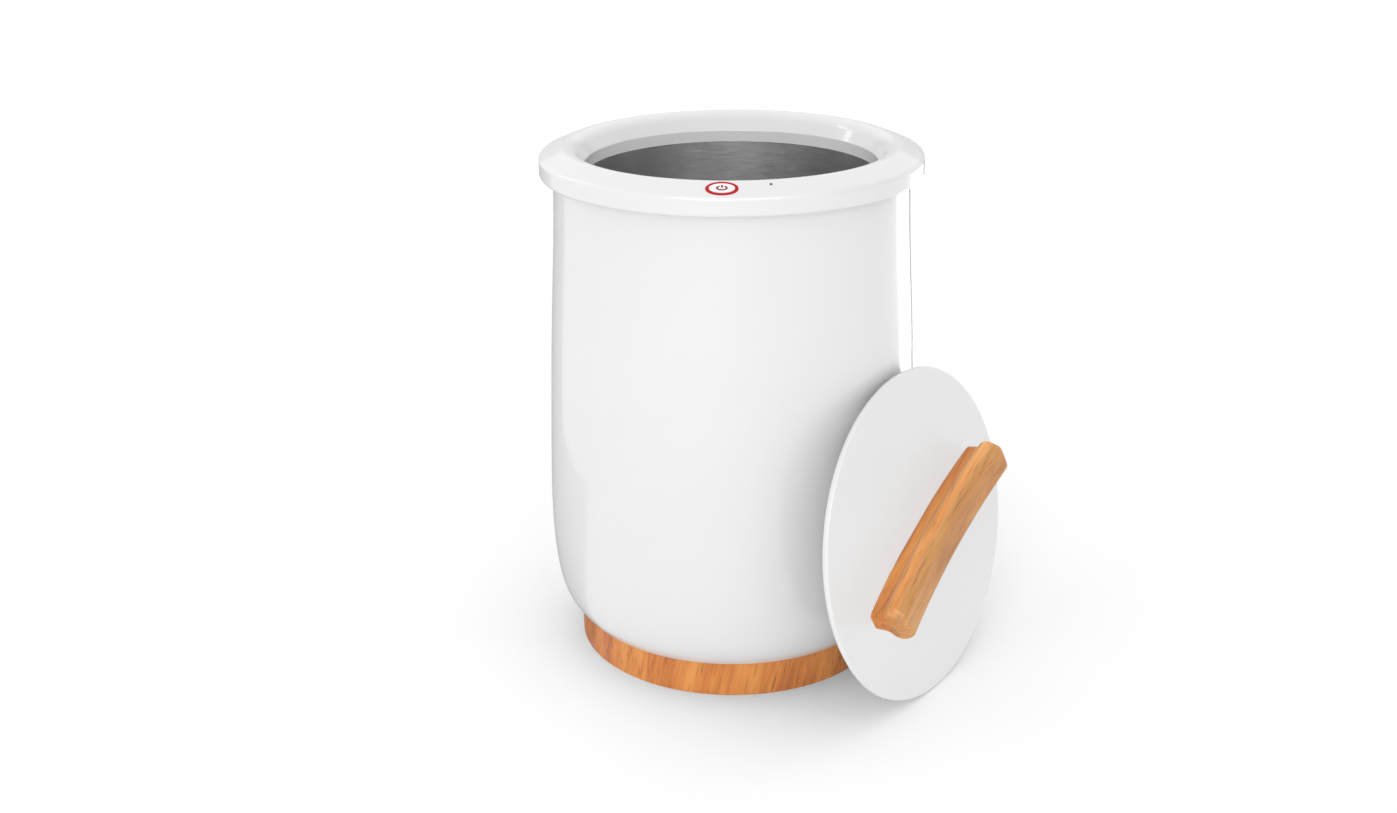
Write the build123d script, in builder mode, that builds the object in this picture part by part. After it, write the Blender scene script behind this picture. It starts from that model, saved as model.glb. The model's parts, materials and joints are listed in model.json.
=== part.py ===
from build123d import *
import os
from math import asin, atan2, cos, hypot, pi, radians, sin, sqrt, tan

# Bucket-style towel warmer with a lift-off lid, in millimetres.
# The origin is on the floor under the centre of the drum. +Z is up and the power button faces -Y.
# The lid is off and leans against the front right of the body.

os.makedirs("parts", exist_ok=True)

# ---- driving dimensions ----
RIM_RADIUS = 150.0        # outside of the collar round the mouth
RIM_BOTTOM = 398.0        # underside of the collar
RIM_SKIN = 2.6
CROWN_HEIGHT = 420.0      # highest line of the collar
CROWN_ARC = 12.0          # roundness across that line
COLLAR_SLOPE = 22.5       # outward slope of the collar in degrees
CONE_POINT = (135.62, 418.78)  # a point on that slope
MOUTH_RADIUS = 114.7
MOUTH_EDGE = 405.6        # top of the upright lip inside the mouth
MOUTH_EASE = 1.4          # its rounding into the collar's inner slope
FLANGE_TOP = 396.5        # the drum's flange, on which the lip stands

SHELL_WALL = 3.0
SHELL_BOTTOM = 31.4       # also the top of the wooden ring
SHELL_FLOOR_HOLE = 88.0

DRUM_WALL = 1.2
DRUM_RADIUS = 115.6
DRUM_FLOOR = 60.0
DRUM_CORNER = 10.0
DRUM_FLANGE_RADIUS = 131.0

WOOD_RADIUS = 128.4
WOOD_WALL = 10.0
WOOD_BOTTOM = 1.6
PLATE_BOTTOM = 4.0
PLATE_TOP = 8.0
PLATE_RADIUS = 122.0

BUTTON_RADIUS = 140.25    # distance of the button's centre from the axis
RING_HALF = (11.7, 7.9)   # the light ring is an oval, wider round the collar than across it
RING_WIDTH = 2.2
CAP_GAP = 0.3

LID_RADIUS = 131.0
LID_EDGE = 3.4            # thickness of the cover at its rim
LID_THICKNESS = 6.0       # with the liner
LUG_DEPTH = 16.0          # tip of a lug below the lid's outer face
LUG_WIDTH = 28.0
LID_CENTRE = (151.7, -91.6)
LID_AZIMUTH = -33.1       # direction that the lid's outer face looks in, degrees from +X
LID_LEAN = 9.3            # how far that face looks up
HANDLE_ANGLE = 25.0       # from the lid's level diameter to the handle
HANDLE_LENGTH = 187.0
HANDLE_HEIGHT = 30.5
HANDLE_NECK = 17.0
HANDLE_TOP = 34.0
HANDLE_RISE = 5.5         # how far its ends curve up from the lid


def save(part, name):
    """Label a finished piece and write its STEP file."""
    part.label = name
    export_step(part, f"parts/{name}.step")


def screws(plane, places, head_r, head_h, shank_r, length, name):
    """Pan-head screws. Their heads stand on the plane and their shanks go down through it."""
    with BuildPart() as group:
        with BuildSketch(plane.offset(-length)):
            with Locations(*places):
                Circle(shank_r)
        extrude(amount=length)
        with BuildSketch(plane):
            with Locations(*places):
                Circle(head_r)
        extrude(amount=head_h)
        with BuildSketch(plane.offset(head_h)):
            with Locations(*places):
                Rectangle(head_r * 1.1, head_r * 0.25)
                Rectangle(head_r * 0.25, head_r * 1.1)
        extrude(amount=-head_h * 0.4, mode=Mode.SUBTRACT)
    save(group.part, name)


def on_circle(radius, count, start=0.0):
    """Places spaced evenly round a circle."""
    turns = [radians(start + 360.0 * i / count) for i in range(count)]
    return [(radius * cos(a), radius * sin(a)) for a in turns]


def lead(points, radius, name):
    """A wire along straight runs, joined by arcs as large as the runs allow."""
    knots = [Vector(*p) for p in points]
    edges = []
    radii = []
    start = knots[0]
    for before, corner, after in zip(knots, knots[1:], knots[2:]):
        back = before - corner
        ahead = after - corner
        half_turn = radians(180.0 - back.get_angle(ahead)) / 2
        cut = 0.45 * min(back.length, ahead.length)
        arc_radius = cut / tan(half_turn)
        radii.append(arc_radius)
        enter = corner + back.normalized() * cut
        leave = corner + ahead.normalized() * cut
        inward = (back.normalized() + ahead.normalized()).normalized()
        middle = corner + inward * (arc_radius / cos(half_turn) - arc_radius)
        edges.append(Edge.make_line(start, enter))
        edges.append(Edge.make_three_point_arc(enter, middle, leave))
        start = leave
    edges.append(Edge.make_line(start, knots[-1]))
    route = Wire(edges)
    with BuildPart() as tube:
        with BuildSketch(Plane(origin=knots[0], z_dir=knots[1] - knots[0])):
            Circle(radius)
        sweep(path=route)
    area = pi * radius ** 2
    print(name, "length", round(route.length, 1), "smallest radius", round(min(radii), 1),
          "volume ratio", round(tube.part.volume / (area * route.length), 4))
    save(tube.part, name)


# ---- outer shell: a full-bellied bucket that narrows to the collar ----
SHELL_OUTLINE = [
    (130.4, SHELL_BOTTOM), (136.0, 38.0), (142.0, 48.0), (148.0, 72.0), (150.8, 118.0),
    (149.2, 185.0), (145.2, 278.0), (141.0, 352.0), (139.5, RIM_BOTTOM),
]
SHELL_TOP_RADIUS = SHELL_OUTLINE[-1][0]


def inset(outline, depth):
    """The same outline moved inward by the wall's thickness."""
    moved = []
    for i, (r, z) in enumerate(outline):
        r0, z0 = outline[max(i - 1, 0)]
        r1, z1 = outline[min(i + 1, len(outline) - 1)]
        run = sqrt((r1 - r0) ** 2 + (z1 - z0) ** 2)
        moved.append((r - depth * (z1 - z0) / run, z + depth * (r1 - r0) / run))
    return moved


SHELL_INSIDE = inset(SHELL_OUTLINE, SHELL_WALL)
SHELL_INSIDE[0] = (SHELL_INSIDE[0][0], SHELL_BOTTOM + SHELL_WALL)
SHELL_INSIDE[-1] = (SHELL_TOP_RADIUS - SHELL_WALL, RIM_BOTTOM)

BASE_SCREW_RADIUS = 110.0
STAND_SCREW_RADIUS = 104.5
RIM_SCREW_RADIUS = 125.5
BASE_SCREW_PLACES = on_circle(BASE_SCREW_RADIUS, 4, 45.0)
STAND_SCREW_PLACES = on_circle(STAND_SCREW_RADIUS, 4)

with BuildPart() as outer_shell:
    with BuildSketch(Plane.XZ):
        with BuildLine():
            Spline(*SHELL_OUTLINE)
            Line(SHELL_OUTLINE[-1], SHELL_INSIDE[-1])
            Spline(*reversed(SHELL_INSIDE))
            Polyline(SHELL_INSIDE[0], (SHELL_FLOOR_HOLE, SHELL_BOTTOM + SHELL_WALL),
                     (SHELL_FLOOR_HOLE, SHELL_BOTTOM), SHELL_OUTLINE[0])
        make_face()
    revolve(axis=Axis.Z)
    with BuildSketch(Plane.XY.offset(PLATE_TOP)):
        with Locations(*BASE_SCREW_PLACES):
            Circle(5.0)
    extrude(amount=SHELL_BOTTOM + SHELL_WALL - PLATE_TOP)
    with BuildSketch(Plane.XY.offset(PLATE_TOP)):
        with Locations(*BASE_SCREW_PLACES):
            Circle(1.6)
    extrude(amount=20.0, mode=Mode.SUBTRACT)
    with BuildSketch(Plane.XY.offset(SHELL_BOTTOM)):
        with Locations(*STAND_SCREW_PLACES):
            Circle(1.6)
    extrude(amount=SHELL_WALL, mode=Mode.SUBTRACT)
save(outer_shell.part, "outer_shell")

# ---- wooden base ring and the plate inside it ----
with BuildPart() as base_ring:
    with BuildSketch(Plane.XZ):
        with BuildLine():
            Polyline(
                (WOOD_RADIUS, WOOD_BOTTOM), (WOOD_RADIUS, SHELL_BOTTOM),
                (WOOD_RADIUS - WOOD_WALL, SHELL_BOTTOM),
                (WOOD_RADIUS - WOOD_WALL, PLATE_TOP + 0.2),
                (PLATE_RADIUS + 0.4, PLATE_TOP + 0.2), (PLATE_RADIUS + 0.4, WOOD_BOTTOM),
                close=True)
        make_face()
    revolve(axis=Axis.Z)
    outer_edges = base_ring.edges().filter_by(GeomType.CIRCLE).sort_by(SortBy.RADIUS)[-2:]
    chamfer(outer_edges, 0.8)
    with BuildSketch(Plane.XZ):
        with Locations((0, 18.0)):
            Circle(6.2)
    extrude(amount=-(WOOD_RADIUS + 5.0), mode=Mode.SUBTRACT)
save(base_ring.part, "base_ring")

BOARD_BOTTOM = 16.0
BOARD_THICKNESS = 1.6
BOARD_TOP = BOARD_BOTTOM + BOARD_THICKNESS
BOARD_CENTRE_Y = 30.0
BOARD_SIZE = (100.0, 66.0)
BOARD_SCREW_PLACES = [(x, BOARD_CENTRE_Y + y) for x in (-44.0, 44.0) for y in (-27.0, 27.0)]
FOOT_PLACES = on_circle(96.0, 4) + [(0, 0)]

with BuildPart() as base_plate:
    with BuildSketch(Plane.XY.offset(PLATE_BOTTOM)):
        Circle(PLATE_RADIUS)
        with Locations(*BASE_SCREW_PLACES):
            Circle(2.0, mode=Mode.SUBTRACT)
        with Locations(*FOOT_PLACES):
            Circle(2.6, mode=Mode.SUBTRACT)
        with PolarLocations(58.0, 12, start_angle=15.0):
            SlotOverall(22.0, 3.6, mode=Mode.SUBTRACT)
    extrude(amount=PLATE_TOP - PLATE_BOTTOM)
    with BuildSketch(Plane.XY.offset(PLATE_BOTTOM)):
        with Locations(*BASE_SCREW_PLACES):
            Circle(4.4)
    extrude(amount=2.2, mode=Mode.SUBTRACT)
    with BuildSketch(Plane.XY.offset(PLATE_TOP)):
        with Locations(*BOARD_SCREW_PLACES):
            Circle(3.6)
    extrude(amount=BOARD_BOTTOM - PLATE_TOP)
    with BuildSketch(Plane.XY.offset(PLATE_TOP)):
        with Locations(*BOARD_SCREW_PLACES):
            Circle(1.3)
    extrude(amount=BOARD_BOTTOM - PLATE_TOP, mode=Mode.SUBTRACT)
save(base_plate.part, "base_plate")

UNDER_PLATE = Plane(origin=(0, 0, PLATE_BOTTOM + 2.2), x_dir=(1, 0, 0), z_dir=(0, 0, -1))
screws(UNDER_PLATE, BASE_SCREW_PLACES, 4.0, 2.0, 1.6, 18.0, "base_screws")

with BuildPart() as rubber_feet:
    with BuildSketch(Plane.XY):
        with Locations(*FOOT_PLACES):
            Circle(10.0)
    extrude(amount=PLATE_BOTTOM, taper=-6)
    fillet(rubber_feet.edges().group_by(Axis.Z)[0], 0.8)
    with BuildSketch(Plane.XY.offset(PLATE_BOTTOM)):
        with Locations(*FOOT_PLACES):
            Circle(2.6)
    extrude(amount=PLATE_TOP - PLATE_BOTTOM)
    with BuildSketch(Plane.XY.offset(PLATE_TOP)):
        with Locations(*FOOT_PLACES):
            Circle(3.6)
    extrude(amount=2.4, taper=30)
save(rubber_feet.part, "rubber_feet")

# ---- cord gland through the back of the wooden ring ----
GLAND_HEIGHT = 18.0
GLAND_BORE = 3.4
GLAND_INNER_END = 114.0
GLAND_OUTER_END = 158.0

with BuildPart() as cord_gland:
    with BuildSketch(Plane.YZ):
        with BuildLine():
            Polyline(
                (GLAND_INNER_END, GLAND_HEIGHT + GLAND_BORE),
                (GLAND_INNER_END, GLAND_HEIGHT + 7.6),
                (117.6, GLAND_HEIGHT + 8.4), (117.6, GLAND_HEIGHT + 6.0),
                (WOOD_RADIUS + 0.1, GLAND_HEIGHT + 6.0), (WOOD_RADIUS + 0.1, GLAND_HEIGHT + 9.0),
                (WOOD_RADIUS + 2.1, GLAND_HEIGHT + 9.0), (WOOD_RADIUS + 3.6, GLAND_HEIGHT + 6.6),
                (GLAND_OUTER_END, GLAND_HEIGHT + 4.6), (GLAND_OUTER_END, GLAND_HEIGHT + GLAND_BORE),
                close=True)
        make_face()
    revolve(axis=Axis((0, 0, GLAND_HEIGHT), (0, 1, 0)))
save(cord_gland.part, "cord_gland")

# ---- drum, heater, insulation and the stand under the drum ----
RIM_SCREW_PLACES = on_circle(RIM_SCREW_RADIUS, 6, 30.0)
LEAD_RADIUS_FROM_AXIS = 132.4

with BuildPart() as inner_drum:
    with BuildSketch(Plane.XZ):
        with BuildLine():
            Line((0, DRUM_FLOOR), (DRUM_RADIUS - DRUM_CORNER, DRUM_FLOOR))
            RadiusArc((DRUM_RADIUS - DRUM_CORNER, DRUM_FLOOR),
                      (DRUM_RADIUS, DRUM_FLOOR + DRUM_CORNER), -DRUM_CORNER)
            Polyline(
                (DRUM_RADIUS, DRUM_FLOOR + DRUM_CORNER), (DRUM_RADIUS, FLANGE_TOP - DRUM_WALL),
                (DRUM_FLANGE_RADIUS, FLANGE_TOP - DRUM_WALL), (DRUM_FLANGE_RADIUS, FLANGE_TOP),
                (DRUM_RADIUS - DRUM_WALL, FLANGE_TOP),
                (DRUM_RADIUS - DRUM_WALL, DRUM_FLOOR + DRUM_CORNER))
            RadiusArc((DRUM_RADIUS - DRUM_WALL, DRUM_FLOOR + DRUM_CORNER),
                      (DRUM_RADIUS - DRUM_CORNER, DRUM_FLOOR + DRUM_WALL), DRUM_CORNER - DRUM_WALL)
            Polyline((DRUM_RADIUS - DRUM_CORNER, DRUM_FLOOR + DRUM_WALL),
                     (0, DRUM_FLOOR + DRUM_WALL), (0, DRUM_FLOOR))
        make_face()
    revolve(axis=Axis.Z)
    with BuildSketch(Plane.XY.offset(FLANGE_TOP - DRUM_WALL)):
        with Locations(*RIM_SCREW_PLACES):
            Circle(1.9)
    extrude(amount=DRUM_WALL, mode=Mode.SUBTRACT)
save(inner_drum.part, "inner_drum")


def sleeve(inner, outer, bottom, top, name):
    """A plain round sleeve about the drum's axis."""
    with BuildPart() as tube:
        with BuildSketch(Plane.XY.offset(bottom)):
            Circle(outer)
            Circle(inner, mode=Mode.SUBTRACT)
        extrude(amount=top - bottom)
    save(tube.part, name)


HEATER_RADIUS = DRUM_RADIUS + 1.0
BLANKET_RADIUS = HEATER_RADIUS + 7.4
sleeve(DRUM_RADIUS, HEATER_RADIUS, 90.0, 262.0, "heater_band")
sleeve(HEATER_RADIUS, BLANKET_RADIUS, 82.0, 384.0, "insulation_blanket")

with BuildPart() as blanket_bands:
    for band_height in (108.0, 226.0, 344.0):
        with BuildSketch(Plane.XY.offset(band_height)):
            Circle(BLANKET_RADIUS + 0.6)
            Circle(BLANKET_RADIUS, mode=Mode.SUBTRACT)
        extrude(amount=12.0)
save(blanket_bands.part, "blanket_bands")

STAND_INNER = 96.0
STAND_SHEET = 2.5
STAND_FOOT_RADIUS = 110.0
STAND_SHELF = (92.0, 107.0)
STAND_BOTTOM = SHELL_BOTTOM + SHELL_WALL
STAND_TOP = 57.0
LEAD_WINDOW = (20.0, 15.0)
LEAD_WINDOW_HEIGHT = 46.4

with BuildPart() as drum_stand:
    with BuildSketch(Plane.XZ):
        with BuildLine():
            Polyline(
                (STAND_INNER, STAND_BOTTOM), (STAND_FOOT_RADIUS, STAND_BOTTOM),
                (STAND_FOOT_RADIUS, STAND_BOTTOM + STAND_SHEET),
                (STAND_INNER + STAND_SHEET, STAND_BOTTOM + STAND_SHEET),
                (STAND_INNER + STAND_SHEET, STAND_TOP - STAND_SHEET),
                (STAND_SHELF[1], STAND_TOP - STAND_SHEET), (STAND_SHELF[1], STAND_TOP),
                (STAND_SHELF[0], STAND_TOP), (STAND_SHELF[0], STAND_TOP - STAND_SHEET),
                (STAND_INNER, STAND_TOP - STAND_SHEET), close=True)
        make_face()
    revolve(axis=Axis.Z)
    with BuildSketch(Plane.XY.offset(STAND_BOTTOM)):
        with Locations(*STAND_SCREW_PLACES):
            Circle(1.8)
    extrude(amount=STAND_SHEET, mode=Mode.SUBTRACT)
    with BuildSketch(Plane.XZ):
        with Locations((0, LEAD_WINDOW_HEIGHT)):
            Rectangle(*LEAD_WINDOW)
    extrude(amount=150.0, both=True, mode=Mode.SUBTRACT)
save(drum_stand.part, "drum_stand")

screws(Plane.XY.offset(STAND_BOTTOM + STAND_SHEET), STAND_SCREW_PLACES, 3.4, 1.8, 1.6, 5.2,
       "stand_screws")

with BuildPart() as stand_pads:
    with BuildSketch(Plane.XY.offset(STAND_TOP)):
        with Locations(*on_circle(98.5, 8, 22.5)):
            RectangleRounded(8.0, 8.0, 2.0)
    extrude(amount=DRUM_FLOOR - STAND_TOP)
save(stand_pads.part, "stand_pads")

CUTOUT_X = -26.0
SENSOR_X = 26.0

with BuildPart() as thermal_cutout:
    with BuildSketch(Plane.XY.offset(DRUM_FLOOR - 3.0)):
        with Locations((CUTOUT_X, 0)):
            Circle(12.0)
    extrude(amount=3.0)
    with BuildSketch(Plane.XY.offset(DRUM_FLOOR - 10.0)):
        with Locations((CUTOUT_X, 0)):
            Circle(8.0)
    extrude(amount=7.0)
    with BuildSketch(Plane.XY.offset(DRUM_FLOOR - 15.0)):
        with Locations((CUTOUT_X - 5.0, 0), (CUTOUT_X + 5.0, 0)):
            Rectangle(0.8, 6.3)
    extrude(amount=5.0)
save(thermal_cutout.part, "thermal_cutout")

with BuildPart() as temperature_sensor:
    with BuildSketch(Plane.XY.offset(DRUM_FLOOR - 5.0)):
        with Locations((SENSOR_X, 0)):
            RectangleRounded(16.0, 9.0, 2.0)
    extrude(amount=5.0)
    with BuildSketch(Plane.XY.offset(DRUM_FLOOR - 8.0)):
        with Locations((SENSOR_X - 4.0, 0)):
            Circle(3.0)
    extrude(amount=3.0)
save(temperature_sensor.part, "temperature_sensor")

HEATER_TERMINAL_X = 8.0
with BuildPart() as heater_terminal:
    with BuildSketch(Plane.XY.offset(72.0)):
        with Locations((HEATER_TERMINAL_X, DRUM_RADIUS + 4.0)):
            RectangleRounded(14.0, 7.0, 1.2)
    extrude(amount=9.0)
save(heater_terminal.part, "heater_terminal")

# ---- main board on the base plate ----
with BuildPart() as main_board:
    with BuildSketch(Plane.XY.offset(BOARD_BOTTOM)):
        with Locations((0, BOARD_CENTRE_Y)):
            RectangleRounded(*BOARD_SIZE, 3.0)
        with Locations(*BOARD_SCREW_PLACES):
            Circle(1.6, mode=Mode.SUBTRACT)
    extrude(amount=BOARD_THICKNESS)
save(main_board.part, "main_board")

screws(Plane.XY.offset(BOARD_TOP), BOARD_SCREW_PLACES, 2.8, 1.6, 1.3, 7.0, "board_screws")

TRANSFORMER_PLACE = (-24.0, 24.0)
TRANSFORMER_FOOT = 3.0
RELAY_PLACE = (18.0, 26.0)
CAPACITOR_PLACE = (38.0, 30.0)
SOCKET_PLACE = (0, 4.0)
TERMINAL_Y = 56.0
TERMINAL_PITCH = 10.0
TERMINAL_HEIGHT = 11.0
TERMINAL_DEPTH = 9.0

with BuildPart() as transformer:
    with BuildSketch(Plane.XY.offset(BOARD_TOP)):
        with Locations(TRANSFORMER_PLACE):
            Rectangle(32.0, 27.0)
    extrude(amount=TRANSFORMER_FOOT)
    with BuildSketch(Plane.XY.offset(BOARD_TOP + TRANSFORMER_FOOT)):
        with Locations(TRANSFORMER_PLACE):
            Rectangle(32.0, 12.0)
            RectangleRounded(20.0, 25.0, 3.0)
    extrude(amount=18.0)
save(transformer.part, "transformer")

with BuildPart() as relay:
    with BuildSketch(Plane.XY.offset(BOARD_TOP)):
        with Locations(RELAY_PLACE):
            RectangleRounded(19.0, 15.4, 1.0)
    extrude(amount=15.2)
    fillet(relay.faces().sort_by(Axis.Z)[-1].edges(), 0.7)
save(relay.part, "relay")

with BuildPart() as terminal_block:
    with BuildSketch(Plane.XY.offset(BOARD_TOP)):
        with Locations((0, TERMINAL_Y)):
            Rectangle(3 * TERMINAL_PITCH, TERMINAL_DEPTH)
    extrude(amount=TERMINAL_HEIGHT)
    with BuildSketch(Plane.XY.offset(BOARD_TOP + TERMINAL_HEIGHT)):
        with Locations((-TERMINAL_PITCH, TERMINAL_Y), (0, TERMINAL_Y)):
            Circle(2.2)
    extrude(amount=-4.0, mode=Mode.SUBTRACT)
    with BuildSketch(Plane.XZ.offset(-TERMINAL_Y - TERMINAL_DEPTH / 2)):
        with Locations(*[(x, BOARD_TOP + 4.0) for x in (-TERMINAL_PITCH, 0, TERMINAL_PITCH)]):
            Rectangle(5.0, 5.0)
    extrude(amount=4.0, mode=Mode.SUBTRACT)
save(terminal_block.part, "terminal_block")

with BuildPart() as filter_capacitor:
    with BuildSketch(Plane.XY.offset(BOARD_TOP)):
        with Locations(CAPACITOR_PLACE):
            RectangleRounded(8.0, 18.0, 1.0)
    extrude(amount=14.0)
save(filter_capacitor.part, "filter_capacitor")

with BuildPart() as board_socket:
    with BuildSketch(Plane.XY.offset(BOARD_TOP)):
        with Locations(SOCKET_PLACE):
            Rectangle(12.0, 6.0)
    extrude(amount=7.0)
save(board_socket.part, "board_socket")

# ---- collar round the mouth ----
SLOPE = radians(COLLAR_SLOPE)


def collar_surface(radius):
    """Height of the collar's outer slope at a distance from the axis."""
    return CONE_POINT[1] - (radius - CONE_POINT[0]) * tan(SLOPE)


CONE_TOP = CROWN_HEIGHT - CROWN_ARC * (1 - cos(SLOPE))
CONE_START = (CONE_POINT[0] + (CONE_POINT[1] - CONE_TOP) / tan(SLOPE), CONE_TOP)
CROWN_CENTRE = (CONE_START[0] - CROWN_ARC * sin(SLOPE), CROWN_HEIGHT - CROWN_ARC)
CROWN_REACH = hypot(CROWN_CENTRE[0] - MOUTH_RADIUS, CROWN_CENTRE[1] - MOUTH_EDGE)
INNER_SLOPE = (atan2(CROWN_CENTRE[1] - MOUTH_EDGE, CROWN_CENTRE[0] - MOUTH_RADIUS)
               + asin(CROWN_ARC / CROWN_REACH))
SHOULDER = collar_surface(RIM_RADIUS)


def crown(turn, depth=0.0):
    """Point across the crown, turned outward from its top, at a depth under the surface."""
    arc = CROWN_ARC - depth
    return (CROWN_CENTRE[0] + arc * sin(turn), CROWN_CENTRE[1] + arc * cos(turn))


with BuildPart() as collar_envelope:
    with BuildSketch(Plane.XZ) as collar_outline:
        with BuildLine():
            Polyline((MOUTH_RADIUS, FLANGE_TOP), (MOUTH_RADIUS, MOUTH_EDGE), crown(-INNER_SLOPE))
            ThreePointArc(crown(-INNER_SLOPE), crown(0.0), crown(SLOPE))
            Polyline(crown(SLOPE), (RIM_RADIUS, SHOULDER), (RIM_RADIUS, RIM_BOTTOM),
                     (MOUTH_RADIUS + RIM_SKIN, RIM_BOTTOM),
                     (MOUTH_RADIUS + RIM_SKIN, FLANGE_TOP), (MOUTH_RADIUS, FLANGE_TOP))
        make_face()
        fillet(collar_outline.vertices().group_by(Axis.X)[0].sort_by(Axis.Y)[-1], MOUTH_EASE)
    revolve(axis=Axis.Z)
    outer_corners = collar_envelope.edges().filter_by(GeomType.CIRCLE).sort_by(SortBy.RADIUS)[-2:]
    upper_corner = outer_corners.sort_by(Axis.Z)[-1]
    lower_corner = outer_corners.sort_by(Axis.Z)[0]
    fillet(upper_corner, 4.0)
    fillet(lower_corner, 2.4)

BUTTON_CENTRE = (0, -BUTTON_RADIUS, collar_surface(BUTTON_RADIUS))
BUTTON_PLANE = Plane(origin=BUTTON_CENTRE, x_dir=(1, 0, 0), z_dir=(0, -sin(SLOPE), cos(SLOPE)))
POST_PLACES = [(-16.0, 0), (16.0, 0)]
BUTTON_BOARD_TOP = -9.5

LENS_TURN = 14.5          # degrees round from the button
LENS_RADIUS = 1.1
LENS_AT = 136.6
LENS_OUT = (sin(radians(LENS_TURN)), -cos(radians(LENS_TURN)))
LENS_PLANE = Plane(
    origin=(LENS_AT * LENS_OUT[0], LENS_AT * LENS_OUT[1], collar_surface(LENS_AT)),
    x_dir=(-LENS_OUT[1], LENS_OUT[0], 0),
    z_dir=(LENS_OUT[0] * sin(SLOPE), LENS_OUT[1] * sin(SLOPE), cos(SLOPE)))

UNDER_RING_TOP = RIM_BOTTOM + 2.5
UNDER_RING_INNER = 119.5
UNDER_RING_FOOT = 390.0   # its locating wall reaches down into the shell

with BuildPart() as top_rim:
    add(collar_envelope.part)
    with BuildSketch(Plane.XZ):
        with BuildLine():
            Polyline((MOUTH_RADIUS + RIM_SKIN, FLANGE_TOP - 1.0),
                     (MOUTH_RADIUS + RIM_SKIN, MOUTH_EDGE - RIM_SKIN / 3),
                     crown(-INNER_SLOPE, RIM_SKIN))
            ThreePointArc(crown(-INNER_SLOPE, RIM_SKIN), crown(0.0, RIM_SKIN),
                          crown(SLOPE, RIM_SKIN))
            Polyline(crown(SLOPE, RIM_SKIN),
                     (RIM_RADIUS - RIM_SKIN, SHOULDER - RIM_SKIN * 0.7),
                     (RIM_RADIUS - RIM_SKIN, FLANGE_TOP - 1.0),
                     (MOUTH_RADIUS + RIM_SKIN, FLANGE_TOP - 1.0))
        make_face()
    revolve(axis=Axis.Z, mode=Mode.SUBTRACT)
    with BuildSketch(Plane.XY.offset(UNDER_RING_TOP)):
        with Locations(*RIM_SCREW_PLACES):
            Circle(3.6)
    extrude(amount=CROWN_HEIGHT - UNDER_RING_TOP)
    with BuildSketch(BUTTON_PLANE.offset(BUTTON_BOARD_TOP)):
        with Locations(*POST_PLACES):
            Circle(2.4)
    extrude(amount=-BUTTON_BOARD_TOP)
    with BuildSketch(LENS_PLANE.offset(-7.0)):
        Circle(3.0)
    extrude(amount=7.0)
    add(collar_envelope.part, mode=Mode.INTERSECT)
    with BuildSketch(Plane.XY.offset(UNDER_RING_TOP)):
        with Locations(*RIM_SCREW_PLACES):
            Circle(1.5)
    extrude(amount=11.0, mode=Mode.SUBTRACT)
    with BuildSketch(BUTTON_PLANE.offset(BUTTON_BOARD_TOP)):
        with Locations(*POST_PLACES):
            Circle(0.9)
    extrude(amount=6.0, mode=Mode.SUBTRACT)
    with BuildSketch(BUTTON_PLANE.offset(-5.0)):
        Ellipse(*RING_HALF)
    extrude(amount=10.0, mode=Mode.SUBTRACT)
    with BuildSketch(LENS_PLANE.offset(-9.0)):
        Circle(LENS_RADIUS)
    extrude(amount=12.0, mode=Mode.SUBTRACT)
    with BuildSketch(LENS_PLANE.offset(-9.0)):
        Circle(1.6)
    extrude(amount=5.0, mode=Mode.SUBTRACT)
save(top_rim.part, "top_rim")

with BuildPart() as rim_under_ring:
    with BuildSketch(Plane.XY.offset(RIM_BOTTOM)):
        Circle(RIM_RADIUS - RIM_SKIN - 0.1)
        Circle(UNDER_RING_INNER, mode=Mode.SUBTRACT)
    extrude(amount=UNDER_RING_TOP - RIM_BOTTOM)
    with BuildSketch(Plane.XY.offset(UNDER_RING_FOOT)):
        Circle(SHELL_TOP_RADIUS - SHELL_WALL - 0.2)
        Circle(SHELL_TOP_RADIUS - SHELL_WALL - 2.6, mode=Mode.SUBTRACT)
    extrude(amount=RIM_BOTTOM - UNDER_RING_FOOT)
    with BuildSketch(Plane.XY.offset(FLANGE_TOP)):
        with Locations(*RIM_SCREW_PLACES):
            Circle(4.0)
    extrude(amount=RIM_BOTTOM - FLANGE_TOP)
    with BuildSketch(Plane.XY.offset(FLANGE_TOP)):
        with Locations(*RIM_SCREW_PLACES):
            Circle(1.9)
        with Locations((0, -LEAD_RADIUS_FROM_AXIS)):
            Circle(1.9)
    extrude(amount=UNDER_RING_TOP - FLANGE_TOP, mode=Mode.SUBTRACT)
save(rim_under_ring.part, "rim_under_ring")

UNDER_FLANGE = Plane(origin=(0, 0, FLANGE_TOP - DRUM_WALL), x_dir=(1, 0, 0), z_dir=(0, 0, -1))
screws(UNDER_FLANGE, RIM_SCREW_PLACES, 3.2, 2.0, 1.5, 13.0, "rim_screws")

# ---- power button, its light ring and their board ----
CAP_HALF = (RING_HALF[0] - RING_WIDTH - CAP_GAP, RING_HALF[1] - RING_WIDTH - CAP_GAP)

SYMBOL_HALF = (4.2, 2.9)
SYMBOL_LINE = 1.4
SYMBOL_GAP = 3.4
SYMBOL_BAR = 3.0
SYMBOL_BAR_AT = 1.9
SYMBOL_DEPTH = 0.4

with BuildSketch(BUTTON_PLANE.offset(0.2)) as symbol:
    Ellipse(*SYMBOL_HALF)
    Ellipse(SYMBOL_HALF[0] - SYMBOL_LINE, SYMBOL_HALF[1] - SYMBOL_LINE, mode=Mode.SUBTRACT)
    with Locations((0, SYMBOL_BAR_AT)):
        Rectangle(SYMBOL_GAP, SYMBOL_BAR, mode=Mode.SUBTRACT)
        Rectangle(SYMBOL_LINE, SYMBOL_BAR)

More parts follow.
